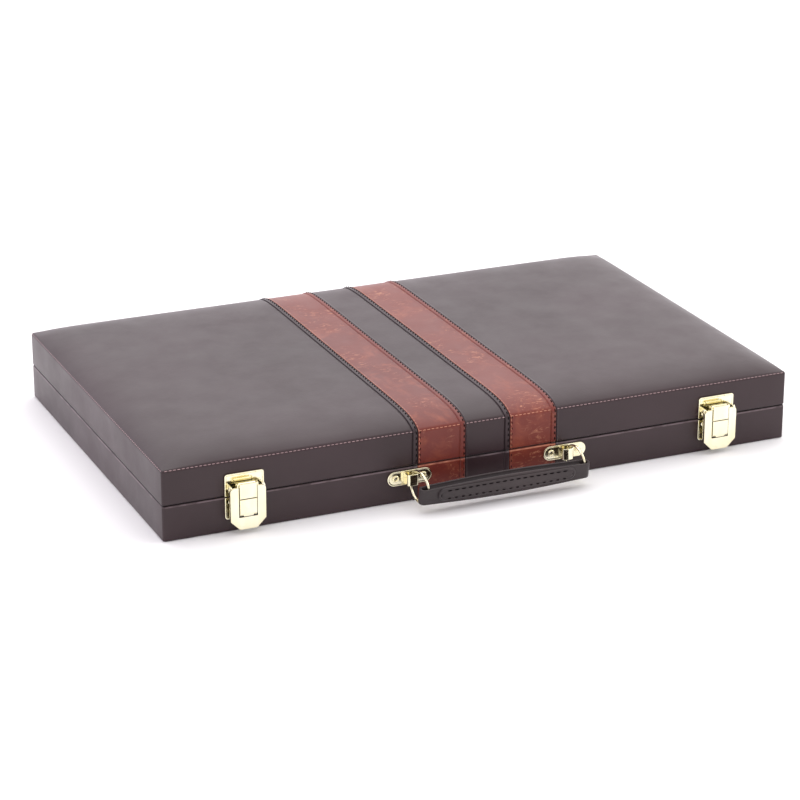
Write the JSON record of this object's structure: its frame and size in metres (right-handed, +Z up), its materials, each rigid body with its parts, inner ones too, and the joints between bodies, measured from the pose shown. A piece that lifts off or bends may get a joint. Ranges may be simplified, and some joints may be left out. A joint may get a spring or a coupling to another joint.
{
  "type": "backgammon case",
  "caption": "Flat attache backgammon case in brown leatherette with two rust stripes, draw latches, a strap handle and two hinged trays.",
  "frame": {"origin": "middle of the underside, on the surface that the closed case lies on", "axes": "+X along the long side to the right of someone facing the handle, +Y from the handle side to the hinge side, +Z up"},
  "size_m": [0.457, 0.3216, 0.049],
  "materials": {
    "leatherette_brown": "dark brown leatherette, fine grain, satin",
    "leatherette_rust": "rust brown leatherette, mottled, satin",
    "handle_leather": "dark brown leatherette strap, stitched, satin",
    "frame_board": "raw fibreboard, matte",
    "playfield_felt": "short felt, matte",
    "padding_foam": "thin padding, matte",
    "polished_brass": "pale polished brass plating"
  },
  "bodies": {
    "base": {"base_front_rail": "frame_board", "base_back_rail": "frame_board", "base_left_rail": "frame_board", "base_right_rail": "frame_board", "base_panel": "frame_board", "base_playfield": "playfield_felt", "base_divider": "leatherette_brown", "base_partition": "leatherette_brown", "base_cover_left": "leatherette_brown", "base_cover_middle": "leatherette_brown", "base_cover_right": "leatherette_brown", "base_stripe_left": "leatherette_rust", "base_stripe_right": "leatherette_rust", "base_cover_back": "leatherette_brown", "base_bottom_cover": "leatherette_brown", "hinge_left_base_leaf": "polished_brass", "hinge_left_pin": "polished_brass", "latch_left_catch": "polished_brass", "handle_loop_left": "polished_brass", "handle_rivet_left_inner": "polished_brass", "handle_rivet_left_outer": "polished_brass", "hinge_right_base_leaf": "polished_brass", "hinge_right_pin": "polished_brass", "latch_right_catch": "polished_brass", "handle_loop_right": "polished_brass", "handle_rivet_right_inner": "polished_brass", "handle_rivet_right_outer": "polished_brass"},
    "lid": {"lid_front_rail": "frame_board", "lid_back_rail": "frame_board", "lid_left_rail": "frame_board", "lid_right_rail": "frame_board", "lid_panel": "frame_board", "lid_playfield": "playfield_felt", "lid_divider": "leatherette_brown", "lid_partition": "leatherette_brown", "lid_cover_left": "leatherette_brown", "lid_cover_middle": "leatherette_brown", "lid_cover_right": "leatherette_brown", "lid_stripe_left": "leatherette_rust", "lid_stripe_right": "leatherette_rust", "lid_foam": "padding_foam", "hinge_left_lid_leaf": "polished_brass", "latch_left_plate": "polished_brass", "latch_left_pivot_left": "polished_brass", "latch_left_pivot_right": "polished_brass", "hinge_right_lid_leaf": "polished_brass", "latch_right_plate": "polished_brass", "latch_right_pivot_left": "polished_brass", "latch_right_pivot_right": "polished_brass"},
    "handle": {"handle_strap": "handle_leather", "handle_grip": "handle_leather", "handle_ring_left": "polished_brass", "handle_ring_right": "polished_brass"},
    "lever_left": {"latch_left_lever": "polished_brass", "latch_left_claw_pin": "polished_brass"},
    "claw_left": {"latch_left_claw": "polished_brass"},
    "lever_right": {"latch_right_lever": "polished_brass", "latch_right_claw_pin": "polished_brass"},
    "claw_right": {"latch_right_claw": "polished_brass"}
  },
  "joints": [
    {"name": "lid_hinge", "type": "hinge", "parent": "base", "child": "lid", "pos_m": [0, 0.1462, 0.0245], "axis": [-1, 0, 0], "range_deg": [0, 180]},
    {"name": "handle_swing", "type": "hinge", "parent": "base", "child": "handle", "pos_m": [0.00191, -0.15688, 0.0143], "axis": [-1, 0, 0], "range_deg": [-20, 60]},
    {"name": "latch_left_lever_swing", "type": "hinge", "parent": "lid", "child": "lever_left", "pos_m": [-0.173, -0.1487, 0.031], "axis": [-1, 0, 0], "range_deg": [0, 95]},
    {"name": "latch_left_claw_swing", "type": "hinge", "parent": "lever_left", "child": "claw_left", "pos_m": [-0.173, -0.1487, 0.0332], "axis": [-1, 0, 0], "range_deg": [-78.85, 0]},
    {"name": "latch_right_lever_swing", "type": "hinge", "parent": "lid", "child": "lever_right", "pos_m": [0.173, -0.1487, 0.031], "axis": [-1, 0, 0], "range_deg": [0, 95]},
    {"name": "latch_right_claw_swing", "type": "hinge", "parent": "lever_right", "child": "claw_right", "pos_m": [0.173, -0.1487, 0.0332], "axis": [-1, 0, 0], "range_deg": [-78.85, 0]}
  ],
  "couplings": [
    {"joint": "latch_left_claw_swing", "follows": "latch_left_lever_swing", "ratio": -0.83},
    {"joint": "latch_right_claw_swing", "follows": "latch_right_lever_swing", "ratio": -0.83}
  ]
}
